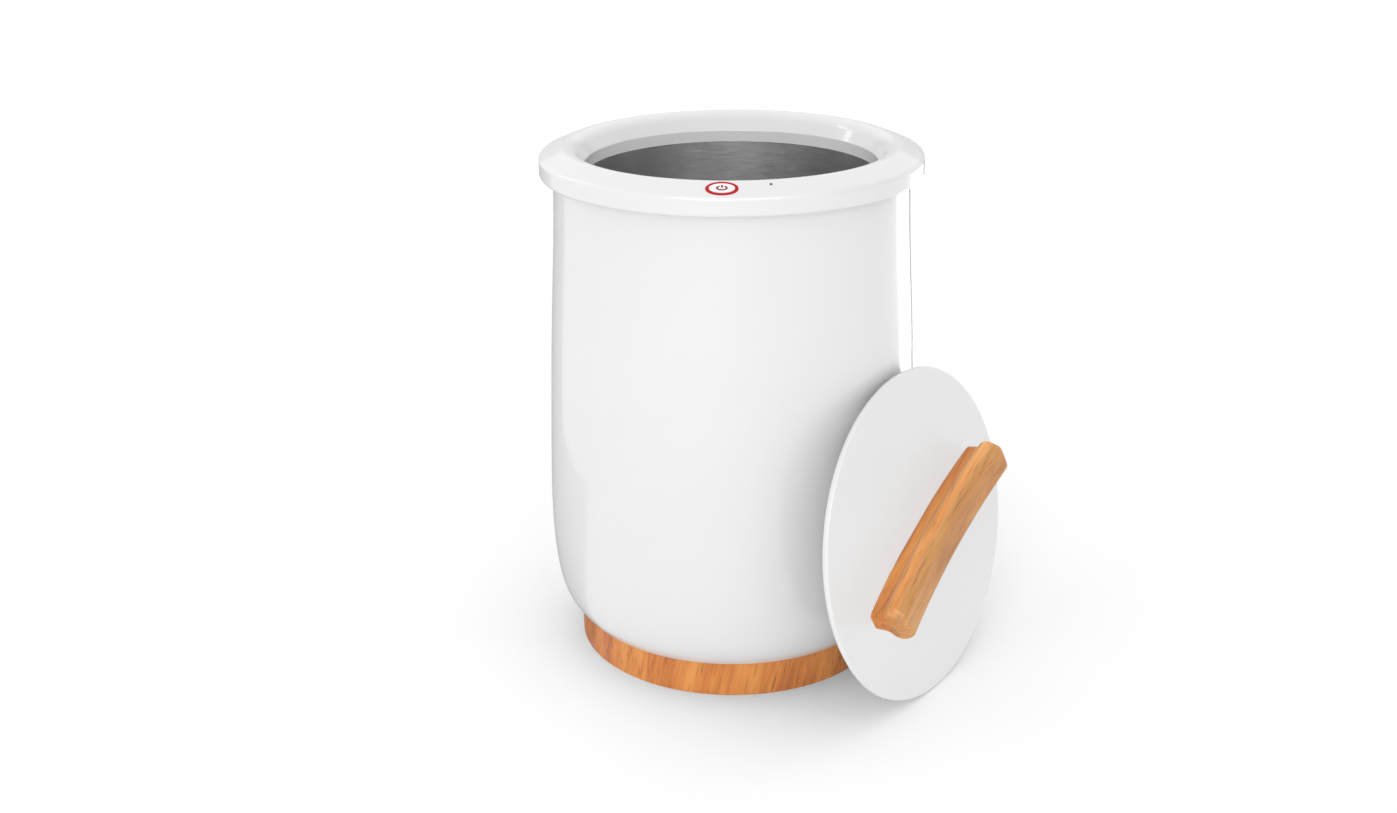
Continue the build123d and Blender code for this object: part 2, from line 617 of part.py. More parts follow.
with BuildPart() as button_ring:
    with BuildSketch(BUTTON_PLANE.offset(-4.0)):
        Ellipse(*RING_HALF)
        Ellipse(RING_HALF[0] - RING_WIDTH, RING_HALF[1] - RING_WIDTH, mode=Mode.SUBTRACT)
    extrude(amount=4.3)
save(button_ring.part, "button_ring")

with BuildPart() as button_cap:
    with BuildSketch(BUTTON_PLANE.offset(-4.6)):
        Ellipse(*CAP_HALF)
    extrude(amount=5.2)
    with BuildSketch(BUTTON_PLANE.offset(-5.2)):
        Ellipse(CAP_HALF[0] + 1.3, CAP_HALF[1] + 1.3)
    extrude(amount=0.8)
    with BuildSketch(BUTTON_PLANE.offset(-5.6)):
        Circle(2.2)
    extrude(amount=0.6)
    extrude(symbol.sketch, amount=SYMBOL_DEPTH, mode=Mode.SUBTRACT)
save(button_cap.part, "button_cap")

with BuildPart() as button_symbol:
    extrude(symbol.sketch, amount=SYMBOL_DEPTH + 0.02)
save(button_symbol.part, "button_symbol")

BUTTON_BOARD_THICKNESS = 1.6
with BuildPart() as button_board:
    with BuildSketch(BUTTON_PLANE.offset(BUTTON_BOARD_TOP)):
        RectangleRounded(39.0, 13.0, 2.0)
        with Locations(*POST_PLACES):
            Circle(1.2, mode=Mode.SUBTRACT)
    extrude(amount=-BUTTON_BOARD_THICKNESS)
save(button_board.part, "button_board")

UNDER_BUTTON_BOARD = Plane(
    origin=(BUTTON_PLANE.offset(BUTTON_BOARD_TOP - BUTTON_BOARD_THICKNESS)).origin,
    x_dir=(1, 0, 0), z_dir=-BUTTON_PLANE.z_dir)
screws(UNDER_BUTTON_BOARD, POST_PLACES, 1.9, 1.0, 0.9, 6.0, "button_board_screws")

with BuildPart() as tact_switch:
    with BuildSketch(BUTTON_PLANE.offset(BUTTON_BOARD_TOP)):
        RectangleRounded(6.0, 6.0, 0.5)
    extrude(amount=2.2)
    with BuildSketch(BUTTON_PLANE.offset(BUTTON_BOARD_TOP + 2.2)):
        Circle(1.7)
    extrude(amount=0.4)
save(tact_switch.part, "tact_switch")

with BuildPart() as ring_leds:
    with BuildSketch(BUTTON_PLANE.offset(BUTTON_BOARD_TOP)):
        with Locations((-10.4, 0), (10.4, 0), (0, 5.6), (0, -5.6)):
            Rectangle(2.0, 1.2)
    extrude(amount=0.8)
save(ring_leds.part, "ring_leds")

with BuildPart() as button_socket:
    with BuildSketch(UNDER_BUTTON_BOARD):
        Rectangle(8.0, 6.0)
    extrude(amount=4.0)
save(button_socket.part, "button_socket")

with BuildPart() as indicator_lens:
    with BuildSketch(LENS_PLANE.offset(-4.0)):
        Circle(LENS_RADIUS)
    extrude(amount=4.2)
save(indicator_lens.part, "indicator_lens")

with BuildPart() as indicator_led:
    with BuildSketch(LENS_PLANE.offset(-9.0)):
        Circle(1.5)
    extrude(amount=5.0)
    with BuildSketch(LENS_PLANE.offset(-9.8)):
        Circle(1.9)
    extrude(amount=0.8)
save(indicator_led.part, "indicator_led")

# ---- leads clipped inside the body ----
lead([
    (0, 4.0, 24.6), (0, 4.0, 38.0), (3.0, -20.0, 45.0), (-2.0, -48.0, 46.5), (2.0, -82.0, 45.5),
    (0, -116.0, 50.0), (-1.0, -132.0, 76.0), (2.0, -133.5, 126.0), (-1.5, -132.5, 180.0),
    (1.0, -130.5, 234.0), (-1.0, -129.0, 288.0), (0.8, -130.0, 340.0), (0, -132.4, 378.0),
    (0, -LEAD_RADIUS_FROM_AXIS, 402.6),
], 1.15, "button_lead")
lead([
    (TERMINAL_PITCH, TERMINAL_Y, BOARD_TOP + TERMINAL_HEIGHT), (TERMINAL_PITCH, TERMINAL_Y, 42.0),
    (8.0, 76.0, 47.0),
    (HEATER_TERMINAL_X, 104.0, 46.0), (HEATER_TERMINAL_X, DRUM_RADIUS + 4.0, 58.0),
    (HEATER_TERMINAL_X, DRUM_RADIUS + 4.0, 72.0),
], 1.6, "heater_lead")

# ---- lid, leaning on its lower edge ----
LEAN = radians(LID_LEAN)
TURN = radians(LID_AZIMUTH)
LID_OUT = Vector(cos(LEAN) * cos(TURN), cos(LEAN) * sin(TURN), sin(LEAN))
LID_LEVEL = Vector(-sin(TURN), cos(TURN), 0)
LID_UP = LID_OUT.cross(LID_LEVEL)
LID_FOOT = 0.3            # clearance under the lid's lower edge
LID_HEIGHT = LID_RADIUS * LID_UP.Z + LID_EDGE * LID_OUT.Z + LID_FOOT
GRIP = radians(HANDLE_ANGLE)
LID_PLANE = Plane(
    origin=(*LID_CENTRE, LID_HEIGHT),
    x_dir=LID_LEVEL * cos(GRIP) + LID_UP * sin(GRIP), z_dir=LID_OUT)

COVER_SKIN = 2.4
LINER_TOP = -4.4
LINER_RADIUS = 122.3
GASKET_OUTER = 126.4
SKIRT_RADIUS = 128.0      # a low wall under the cover, round the gasket
LINER_SCREW_PLACES = on_circle(98.0, 4, 45.0)
HANDLE_SCREW_PLACES = [(-44.0, 0), (44.0, 0)]

with BuildPart() as lid_cover:
    with BuildSketch(LID_PLANE.offset(-LID_EDGE)):
        Circle(LID_RADIUS)
    extrude(amount=LID_EDGE)
    with BuildSketch(LID_PLANE.offset(-LID_THICKNESS)):
        Circle(SKIRT_RADIUS)
    extrude(amount=LID_THICKNESS - LID_EDGE)
    with BuildSketch(LID_PLANE.offset(-LID_THICKNESS)):
        Circle(GASKET_OUTER)
    extrude(amount=LID_THICKNESS - COVER_SKIN, mode=Mode.SUBTRACT)
    with BuildSketch(LID_PLANE.offset(LINER_TOP)):
        with Locations(*LINER_SCREW_PLACES):
            Circle(4.0)
    extrude(amount=-LINER_TOP - COVER_SKIN)
    lid_rims = lid_cover.edges().filter_by(GeomType.CIRCLE).sort_by(SortBy.RADIUS)[-2:]
    fillet(lid_rims, 1.2)
    with BuildSketch(LID_PLANE.offset(LINER_TOP)):
        with Locations(*LINER_SCREW_PLACES):
            Circle(1.4)
    extrude(amount=3.2, mode=Mode.SUBTRACT)
    with BuildSketch(LID_PLANE.offset(-LID_THICKNESS)):
        with Locations(*HANDLE_SCREW_PLACES):
            Circle(2.2)
    extrude(amount=LID_THICKNESS, mode=Mode.SUBTRACT)
save(lid_cover.part, "lid_cover")

with BuildPart() as lid_insulation:
    with BuildSketch(LID_PLANE.offset(LINER_TOP)):
        Circle(LINER_RADIUS - 0.5)
        with Locations(*LINER_SCREW_PLACES):
            Circle(4.2, mode=Mode.SUBTRACT)
        with Locations(*HANDLE_SCREW_PLACES):
            Circle(2.2, mode=Mode.SUBTRACT)
    extrude(amount=-LINER_TOP - COVER_SKIN)
save(lid_insulation.part, "lid_insulation")

LUG_RADIUS = 113.0
LUG_WALL = 5.0
with BuildPart() as lid_liner:
    with BuildSketch(LID_PLANE.offset(-LID_THICKNESS)):
        Circle(LINER_RADIUS)
        with Locations(*LINER_SCREW_PLACES):
            Circle(1.6, mode=Mode.SUBTRACT)
        with Locations(*HANDLE_SCREW_PLACES):
            Circle(2.2, mode=Mode.SUBTRACT)
    extrude(amount=LINER_TOP + LID_THICKNESS)
    for side in (1, -1):
        lug_origin = LID_PLANE.from_local_coords(Vector(0, side * LUG_RADIUS, -LID_THICKNESS))
        lug_plane = Plane(origin=lug_origin, x_dir=LID_PLANE.x_dir * side,
                          z_dir=-LID_PLANE.y_dir * side)
        with BuildSketch(lug_plane) as lug:
            with Locations((0, (LID_THICKNESS - LUG_DEPTH) / 2)):
                Rectangle(LUG_WIDTH, LUG_DEPTH - LID_THICKNESS)
            fillet(lug.vertices().group_by(Axis.Y)[0], 6.0)
        extrude(amount=LUG_WALL)
save(lid_liner.part, "lid_liner")

with BuildPart() as lid_gasket:
    with BuildSketch(LID_PLANE.offset(-LID_THICKNESS - 0.4)):
        Circle(GASKET_OUTER)
        Circle(LINER_RADIUS, mode=Mode.SUBTRACT)
    extrude(amount=2.4)
save(lid_gasket.part, "lid_gasket")


def under_lid(depth):
    """Plane below the lid, facing away from its outer face."""
    return Plane(origin=LID_PLANE.offset(-depth).origin, x_dir=LID_PLANE.x_dir, z_dir=-LID_OUT)


screws(under_lid(LID_THICKNESS), LINER_SCREW_PLACES, 3.0, 1.6, 1.4, 4.6, "liner_screws")

WASHER = 0.8
with BuildPart() as handle_washers:
    with BuildSketch(under_lid(LID_THICKNESS)):
        with Locations(*HANDLE_SCREW_PLACES):
            Circle(6.0)
            Circle(2.2, mode=Mode.SUBTRACT)
    extrude(amount=WASHER)
save(handle_washers.part, "handle_washers")
screws(under_lid(LID_THICKNESS + WASHER), HANDLE_SCREW_PLACES, 4.0, 2.6, 2.0, 17.0, "handle_screws")

HANDLE_SEAT = 1.5         # the neck's foot is planed flat by this much in its middle
HANDLE_SIDE = Plane(origin=LID_PLANE.origin, x_dir=LID_PLANE.x_dir, z_dir=-LID_PLANE.y_dir)
with BuildPart() as lid_handle:
    with BuildLine(HANDLE_SIDE) as spine:
        ThreePointArc((-HANDLE_LENGTH / 2 - 2.0, HANDLE_RISE), (0, 0),
                      (HANDLE_LENGTH / 2 + 2.0, HANDLE_RISE))
    with BuildSketch(Plane(origin=spine.line @ 0, x_dir=LID_PLANE.y_dir, z_dir=spine.line % 0)):
        with BuildLine():
            neck = HANDLE_NECK / 2
            brow = HANDLE_TOP / 2
            Polyline((0, -HANDLE_SEAT), (neck, -HANDLE_SEAT), (neck + 0.6, 7.0))
            Bezier((neck + 0.6, 7.0), (neck + 1.2, 12.5), (brow - 1.6, 12.0), (brow - 0.2, 17.4))
            Bezier((brow - 0.2, 17.4), (brow + 0.7, 21.2), (brow - 2.0, 25.4), (brow - 4.4, 28.2))
            Bezier((brow - 4.4, 28.2), (brow - 5.6, 29.7), (brow - 6.6, 30.1), (brow - 8.6, 30.2))
            Line((brow - 8.6, 30.2), (0, HANDLE_HEIGHT))
            mirror(about=Plane.YZ)
        make_face()
    sweep()
    with BuildSketch(LID_PLANE):
        RectangleRounded(HANDLE_LENGTH, HANDLE_TOP + 1.0, 5.0)
    extrude(amount=HANDLE_HEIGHT * 2, mode=Mode.INTERSECT)
    with BuildSketch(LID_PLANE):
        with Locations(*HANDLE_SCREW_PLACES):
            Circle(2.0)
    extrude(amount=11.0, mode=Mode.SUBTRACT)
save(lid_handle.part, "lid_handle")
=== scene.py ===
"""Bucket towel warmer: the looks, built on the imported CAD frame.

Sizes are in metres, except the handle's, which are in millimetres.
"""
import json
from math import cos, radians, sin, sqrt

import bpy
import bmesh
from mathutils import Matrix, Vector


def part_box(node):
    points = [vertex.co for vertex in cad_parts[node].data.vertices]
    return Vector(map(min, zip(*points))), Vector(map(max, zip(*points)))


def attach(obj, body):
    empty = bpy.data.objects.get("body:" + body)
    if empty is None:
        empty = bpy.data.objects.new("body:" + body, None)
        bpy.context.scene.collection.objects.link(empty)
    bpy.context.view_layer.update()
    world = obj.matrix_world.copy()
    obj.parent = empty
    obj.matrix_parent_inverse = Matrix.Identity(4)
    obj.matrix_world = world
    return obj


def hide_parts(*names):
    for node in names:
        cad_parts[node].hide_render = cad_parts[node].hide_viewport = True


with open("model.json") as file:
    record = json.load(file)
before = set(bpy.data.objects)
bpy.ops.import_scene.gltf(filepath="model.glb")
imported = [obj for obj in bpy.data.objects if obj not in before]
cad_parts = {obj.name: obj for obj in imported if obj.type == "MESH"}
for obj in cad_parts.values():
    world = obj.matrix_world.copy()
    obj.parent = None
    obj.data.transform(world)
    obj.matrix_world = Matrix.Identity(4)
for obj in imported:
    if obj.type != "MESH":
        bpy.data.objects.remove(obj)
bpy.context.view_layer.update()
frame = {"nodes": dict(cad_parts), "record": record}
NODES = frame["nodes"]
scene = bpy.context.scene

# ---------------------------------------------------------------- camera

CAMERA_PLACE = Vector((0.0600, -1.2713, 0.6905))
CAMERA_TURN = radians(3.94)     # how far it looks round from +Y towards -X
CAMERA_DIP = radians(21.10)
CAMERA_ROLL = radians(-0.556)
SENSOR = 36.0
LENS = 42.5
CLIP = (0.05, 50.0)


def make_camera():
    ahead = Vector((-sin(CAMERA_TURN) * cos(CAMERA_DIP), cos(CAMERA_TURN) * cos(CAMERA_DIP),
                    -sin(CAMERA_DIP)))
    level = Vector((cos(CAMERA_TURN), sin(CAMERA_TURN), 0.0))
    above = level.cross(ahead)
    right = level * cos(CAMERA_ROLL) + above * sin(CAMERA_ROLL)
    up = above * cos(CAMERA_ROLL) - level * sin(CAMERA_ROLL)
    data = bpy.data.cameras.new("camera")
    data.sensor_width = SENSOR
    data.lens = LENS
    data.clip_start, data.clip_end = CLIP
    camera = bpy.data.objects.new("camera", data)
    scene.collection.objects.link(camera)
    turned = Matrix((right, up, -ahead)).transposed().to_4x4()
    camera.matrix_world = Matrix.Translation(CAMERA_PLACE) @ turned
    scene.camera = camera


# ---------------------------------------------------------------- light

WORLD_STRENGTH = 1.09

# name, place, what it faces, width, height, power
KEY = ("key", (-0.25, -2.15, 1.1), (0.0, 0.0, 0.25), 0.8, 0.7, 7.0)
DRUM_FILL = ("drum_fill", (0.0, 0.0, 0.22), (0.0, 0.0, 0.50), 0.10, 0.10, 0.045)
# These light only the gloss: they draw the bright streaks on the body and the collar.
GLOSS_PANELS = [
    ("right_panel", (0.48, 0.50, 0.14), (0.15, 0.0, 0.14), 0.34, 0.28, 0.7),
    ("front_bank", (0.0, -1.6, 1.2), (0.0, 0.0, 0.4), 2.0, 0.6, 15.0),
    ("left_bank", (-1.2, 0.54, 1.15), (0.0, 0.0, 0.4), 0.14, 0.8, 1.1),
]


def area_light(name, place, aim, width, height, power):
    data = bpy.data.lights.new(name, "AREA")
    data.shape = "RECTANGLE"
    data.size = width
    data.size_y = height
    data.energy = power
    lamp = bpy.data.objects.new(name, data)
    scene.collection.objects.link(lamp)
    lamp.location = place
    lamp.rotation_euler = (Vector(aim) - Vector(place)).to_track_quat("-Z", "Y").to_euler()
    return lamp


def make_lights():
    world = bpy.data.worlds.new("studio")
    scene.world = world
    world.use_nodes = True
    backdrop = world.node_tree.nodes["Background"]
    backdrop.inputs["Color"].default_value = (1.0, 1.0, 1.0, 1.0)
    backdrop.inputs["Strength"].default_value = WORLD_STRENGTH
    area_light(*KEY)
    for panel in GLOSS_PANELS:
        lamp = area_light(*panel)
        lamp.visible_camera = False
        lamp.visible_diffuse = False
    area_light(*DRUM_FILL).visible_camera = False
    scene.view_settings.view_transform = "Standard"
    scene.view_settings.look = "None"


# ---------------------------------------------------------------- node helpers


def grey(value):
    return (value, value, value)


class Shader:
    """A material's node tree with short calls for the nodes that the finishes share."""

    def __init__(self, name):
        self.material = bpy.data.materials.new(name)
        self.material.use_nodes = True
        self.tree = self.material.node_tree
        self.bsdf = self.tree.nodes["Principled BSDF"]

    def node(self, kind, inputs=None, **settings):
        made = self.tree.nodes.new(kind)
        for key, value in settings.items():
            setattr(made, key, value)
        for key, value in (inputs or {}).items():
            self.feed(made.inputs[key], value)
        return made

    def link(self, source, target):
        self.tree.links.new(source, target)

    def feed(self, socket, value):
        """Gives a socket another node's output or a plain value."""
        if isinstance(value, bpy.types.NodeSocket):
            self.link(value, socket)
        else:
            socket.default_value = value

    def set(self, **values):
        for key, value in values.items():
            self.feed(self.bsdf.inputs[key.replace("_", " ")], value)

    def place(self, scale=(1, 1, 1)):
        """Object coordinates, scaled."""
        coords = self.node("ShaderNodeTexCoord").outputs["Object"]
        scaled = self.node("ShaderNodeMapping", {"Vector": coords, "Scale": scale})
        return scaled.outputs["Vector"]

    def along(self, axes, scale):
        """Object coordinates measured along three given directions, then scaled."""
        coords = self.node("ShaderNodeTexCoord").outputs["Object"]
        joined = self.node("ShaderNodeCombineXYZ")
        for direction, socket in zip(axes, joined.inputs):
            measured = self.node("ShaderNodeVectorMath", {0: coords, 1: direction},
                                 operation="DOT_PRODUCT")
            self.link(measured.outputs["Value"], socket)
        scaled = self.node("ShaderNodeMapping",
                           {"Vector": joined.outputs["Vector"], "Scale": scale})
        return scaled.outputs["Vector"]

    def noise(self, vector, scale, detail, roughness=0.5, distortion=0.0):
        made = self.node("ShaderNodeTexNoise", {
            "Vector": vector, "Scale": scale, "Detail": detail, "Roughness": roughness,
            "Distortion": distortion})
        return made.outputs["Fac"]

    def ramp(self, factor, stops):
        made = self.node("ShaderNodeValToRGB", {"Fac": factor})
        elements = made.color_ramp.elements
        while len(elements) < len(stops):
            elements.new(0.5)
        for element, (position, color) in zip(elements, stops):
            element.position = position
            element.color = (*color, 1.0)
        return made.outputs["Color"]

    def spread(self, factor, low, high, from_low=0.3, from_high=0.7):
        made = self.node("ShaderNodeMapRange", {
            "Value": factor, "From Min": from_low, "From Max": from_high, "To Min": low,
            "To Max": high})
        return made.outputs["Result"]

    def math(self, operation, *values):
        return self.node("ShaderNodeMath", dict(enumerate(values)),
                         operation=operation).outputs["Value"]

    def mix(self, factor, first, second, blend="MIX"):
        factor_slot, first_slot, second_slot = 0, 6, 7      # the colour sockets of a Mix node
        made = self.node("ShaderNodeMix",
                         {factor_slot: factor, first_slot: first, second_slot: second},
                         data_type="RGBA", blend_type=blend)
        return made.outputs[2]

    def bump(self, height, strength, distance=0.0002):
        made = self.node("ShaderNodeBump",
                         {"Height": height, "Strength": strength, "Distance": distance})
        self.link(made.outputs["Normal"], self.bsdf.inputs["Normal"])


# ---------------------------------------------------------------- finishes


def moulded(name, low, high, roughness, coat=0.0, grain=900.0, bump=0.02):
    """Moulded plastic or rubber: slight tone drift, uneven gloss and a fine surface texture."""
    shader = Shader(name)
    drift = shader.noise(shader.place(), 7.0, 3.0)
    gloss = shader.noise(shader.place(), 40.0, 4.0)
    shader.set(Base_Color=shader.ramp(drift, [(0.35, low), (0.65, high)]),
               Roughness=shader.spread(gloss, roughness * 0.9, roughness * 1.12),
               Coat_Weight=coat, Coat_Roughness=0.08)
    shader.bump(shader.noise(shader.place(), grain, 2.0), bump)
    return shader.material


# Tints of the painted shading on the handle, by a value at each point: 0 paints shade on its neck
# and 1 paints its side light.
PAINTED_SHADE_TINTS = [(0.0, (0.84, 0.68, 0.35)), (0.5, (0.71, 0.81, 0.93)), (1.0, grey(1.0))]
BROAD_SCALES = (4.0, 22.0, 22.0)      # of the tone drift, along the grain and twice across it
PORE_SCALES = (42.0, 700.0, 700.0)
STREAK_STRETCH = 0.07                 # a streak's scale along the grain against across it
BROAD_SHARE = 0.55                    # of the figure; the streaks make up the rest
PORE_TINT = (0.62, 0.55, 0.5)         # a pore's tone against the darkest wood


def wood(name, axes, stops, streak, waves, pores, paints_shading=False):
    """Oiled wood: broad tone drift, wavy streaks and short dark pores along the first axis."""
    shader = Shader(name)
    broad = shader.noise(shader.along(axes, BROAD_SCALES), 1.6, 3.0, 0.5, 0.5)
    streaks = shader.along(axes, (streak * STREAK_STRETCH, streak, streak))
    lines = shader.noise(streaks, 1.0, 6.0, 0.62, waves)
    fine_lines = shader.math("MULTIPLY", lines, 1.0 - BROAD_SHARE)
    figure = shader.ramp(shader.math("MULTIPLY_ADD", broad, BROAD_SHARE, fine_lines), stops)
    flecks = shader.noise(shader.along(axes, PORE_SCALES), 1.0, 2.0, 0.4)
    darkest = stops[0][1]
    pore_tone = (*(tone * tint for tone, tint in zip(darkest, PORE_TINT)), 1.0)
    color = shader.mix(shader.spread(flecks, 0.0, pores, 0.60, 0.74), figure, pore_tone)
    # Painted shading: a value at each point darkens the neck as painted shade and keeps the sides
    # light as painted light.
    if paints_shading:
        painted_shading = shader.node("ShaderNodeAttribute", attribute_name="painted_shading").outputs["Fac"]
        color = shader.mix(1.0, color, shader.ramp(painted_shading, PAINTED_SHADE_TINTS), blend="MULTIPLY")
    shader.set(Base_Color=color, Roughness=shader.spread(lines, 0.36, 0.50),
               Coat_Weight=0.12, Coat_Roughness=0.3)
    shader.bump(flecks, 0.16)
    return shader.material


def metal(name, low, high, roughness, scale, stretch, tone_clouds_and_light_bands):
    """Drawn or rolled metal: fine lines stretched along one object axis, and soft clouds of tone;
    stretched upright they paint vertical light bands.
    """
    shader = Shader(name)
    lines = shader.noise(shader.place(stretch), scale, 5.0, 0.6)
    tone_cloud_and_light_band = shader.noise(shader.place(tone_clouds_and_light_bands), 1.0, 2.0)
    shader.set(Base_Color=shader.ramp(tone_cloud_and_light_band, [(0.3, low), (0.7, high)]),
               Roughness=shader.spread(lines, roughness * 0.8, roughness * 1.2),
               Metallic=1.0)
    shader.bump(lines, 0.04)
    return shader.material


def fibres(name, low, high, scale):
    """Felt or foam: a matt, mottled surface with soft relief."""
    shader = Shader(name)
    clumps = shader.noise(shader.place(), scale, 6.0, 0.7)
    shader.set(Base_Color=shader.ramp(clumps, [(0.3, low), (0.7, high)]),
               Roughness=0.95, Sheen_Weight=0.25, Sheen_Roughness=0.5)
    shader.bump(clumps, 0.4, 0.0006)
    return shader.material


def glowing(name, low, high, glow, strength):
    """A lit light guide: coloured plastic, slightly uneven over the lamps, with an even glow."""
    shader = Shader(name)
    lamps = shader.noise(shader.place(), 260.0, 2.0)
    shader.set(Base_Color=shader.ramp(lamps, [(0.3, low), (0.7, high)]),
               Roughness=0.35, Specular_IOR_Level=0.12,
               Emission_Color=(*glow, 1.0), Emission_Strength=strength)
    return shader.material


# The bar lies along the first of these directions, across it the second, and the lid's outer
# face looks along the third.
LID_OUT = (0.826708, -0.538924, 0.161604)
HANDLE_ALONG = (0.437723, 0.796528, 0.417063)
HANDLE_ACROSS = tuple(Vector(LID_OUT).cross(Vector(HANDLE_ALONG)))

# The ring's grain stands a little aslant.
RING_GRAIN = ((0.20, 0.06, 0.98), (0.98, 0.0, -0.20), (-0.06, 1.0, 0.0))
HANDLE_GRAIN = (HANDLE_ALONG, HANDLE_ACROSS, LID_OUT)
RING_STOPS = [(0.37, (0.39, 0.106, 0.017)), (0.46, (0.54, 0.160, 0.026)),
              (0.53, (0.65, 0.215, 0.037)), (0.66, (0.78, 0.315, 0.070))]
HANDLE_STOPS = [(0.36, (0.50, 0.165, 0.033)), (0.47, (0.72, 0.280, 0.066)),
                (0.56, (0.80, 0.352, 0.097)), (0.68, (0.93, 0.490, 0.175))]

# name: maker and what it takes after the name
RECIPES = {
    "gloss_white": (moulded, grey(0.713), grey(0.725), 0.34, 0.9, 160.0, 0.004),
    "lid_white": (moulded, grey(0.735), grey(0.750), 0.42, 0.15, 500.0, 0.02),
    "liner_white": (moulded, grey(0.585), grey(0.605), 0.5, 0.1, 500.0, 0.03),
    "cap_white": (moulded, grey(0.80), grey(0.82), 0.3, 0.5, 300.0, 0.005),
    "symbol_red": (glowing, (0.20, 0.0, 0.007), (0.24, 0.001, 0.010), (0.30, 0.0, 0.01), 0.02),
    "ring_red": (glowing, (0.40, 0.0, 0.004), (0.46, 0.001, 0.006), (0.60, 0.0, 0.006), 0.12),
    # The drum's clouds stand upright: soft vertical bands of tone that paint light bands on its
    # inner wall.
    "drum_metal": (metal, grey(0.45), grey(0.57), 0.36, 60.0, (1.0, 1.0, 30.0),
                   (22.0, 22.0, 0.8)),
    "base_wood": (wood, RING_GRAIN, RING_STOPS, 95.0, 1.8, 0.6),
    # The handle's wood carries painted shading: shade on its neck and light on its sides.
    "handle_wood": (wood, HANDLE_GRAIN, HANDLE_STOPS, 260.0, 0.9, 0.6, True),
    "grey_plastic": (moulded, grey(0.34), grey(0.38), 0.5, 0.0, 900.0, 0.08),
    "dark_plastic": (moulded, grey(0.010), grey(0.016), 0.45, 0.0, 900.0, 0.08),
    "black_rubber": (moulded, grey(0.007), grey(0.012), 0.75, 0.0, 900.0, 0.12),
    "silicone": (moulded, grey(0.62), grey(0.68), 0.55, 0.0, 900.0, 0.05),
    "heater_foil": (moulded, (0.42, 0.09, 0.015), (0.52, 0.13, 0.025), 0.4),
    "lead_rubber": (moulded, grey(0.45), grey(0.52), 0.5, 0.0, 900.0, 0.05),
    "felt": (fibres, (0.50, 0.48, 0.43), (0.66, 0.64, 0.58), 420.0),
    "foam": (fibres, (0.68, 0.67, 0.64), (0.78, 0.77, 0.74), 700.0),
    "steel": (metal, grey(0.46), grey(0.54), 0.3, 220.0, (1.0, 1.0, 6.0), (9.0, 9.0, 9.0)),
    "board": (moulded, (0.005, 0.060, 0.020), (0.008, 0.090, 0.030), 0.35, 0.3),
    "led_lens": (moulded, (0.82, 0.78, 0.70), (0.88, 0.84, 0.77), 0.2, 0.5),
    "smoked_lens": (moulded, grey(0.018), grey(0.026), 0.15, 0.6),
}


def dress_nodes(finishes):
    """Gives each CAD node the finish of its slot; the lid's liner is a duller white."""
    slots = {part["node"]: part["material_slot"] for part in frame["record"]["subparts"]}
    slots["lid_liner"] = "liner_white"
    for name, node in NODES.items():
        node.data.materials.clear()
        node.data.materials.append(finishes[slots[name]])
    NODES["base_ring"].visible_diffuse = False      # its colour stays off the white floor


# ---------------------------------------------------------------- the studio's panels

FLOOR_HALF = 14.0
FLOOR_TONE = 0.93
CARD_BACK = 0.3          # how far behind the drum the side cards stand
CARD_HEIGHT = 0.35
CARD_LIFT = 0.002        # height of the lying cards over the floor
DARKEST_LYING = 0.35     # the lowest tone of a lying card
TONE_DRIFT = 0.02
# name, nearest x, farthest x, front edge of the lying card, tone
SIDE_CARDS = [("right_card", 0.12, 0.25, 0.06, 0.12), ("left_card", -0.12, -0.55, -0.05, 0.42)]
# name, one corner, the opposite corner, tone
BACK_CARD = ("back_card", (-0.7, 1.0, 0.1), (0.7, 1.0, 0.7), 0.66)
SHADE_CARD = ("shade_card", (1.15, -0.75, 0.3), (1.15, 0.45, 1.25), 0.6)


def sheet(name, start, end, tone):
    """A flat rectangle between two opposite corners, in one paper-like tone with a soft drift."""
    first, second = [i for i in range(3) if start[i] != end[i]]
    corners = []
    for moved in ((), (first,), (first, second), (second,)):
        corners.append([end[i] if i in moved else start[i] for i in range(3)])
    mesh = bpy.data.meshes.new(name)
    mesh.from_pydata(corners, [], [(0, 1, 2, 3)])
    panel = bpy.data.objects.new(name, mesh)
    scene.collection.objects.link(panel)
    shader = Shader(name)
    drift = shader.noise(shader.place(), 2.0, 2.0)
    tones = [(0.3, grey(tone)), (0.7, grey(tone + TONE_DRIFT))]
    shader.set(Base_Color=shader.ramp(drift, tones), Roughness=0.9)
    mesh.materials.append(shader.material)
    return panel


def make_cards():
    """Grey cards that only the gloss sees, and one that shades the right. None is in view."""
    cards = []
    for name, near, far, front, tone in SIDE_CARDS:
        cards.append(sheet(name, (near, CARD_BACK, 0.0), (far, CARD_BACK, CARD_HEIGHT), tone))
        cards.append(sheet(name + "_low", (near, front, CARD_LIFT), (far, CARD_BACK, CARD_LIFT),
                           max(tone, DARKEST_LYING)))
    cards.append(sheet(*BACK_CARD))
    for card in cards:
        card.visible_diffuse = False
        card.visible_shadow = False
        card.visible_camera = False
    sheet(*SHADE_CARD).visible_camera = False


def make_floor():
    """A large pale floor that fills the picture behind the object."""
    sheet("floor_paper", (-FLOOR_HALF, -FLOOR_HALF, 0.0), (FLOOR_HALF, FLOOR_HALF, 0.0),
          FLOOR_TONE)


# ---------------------------------------------------------------- the lid's handle

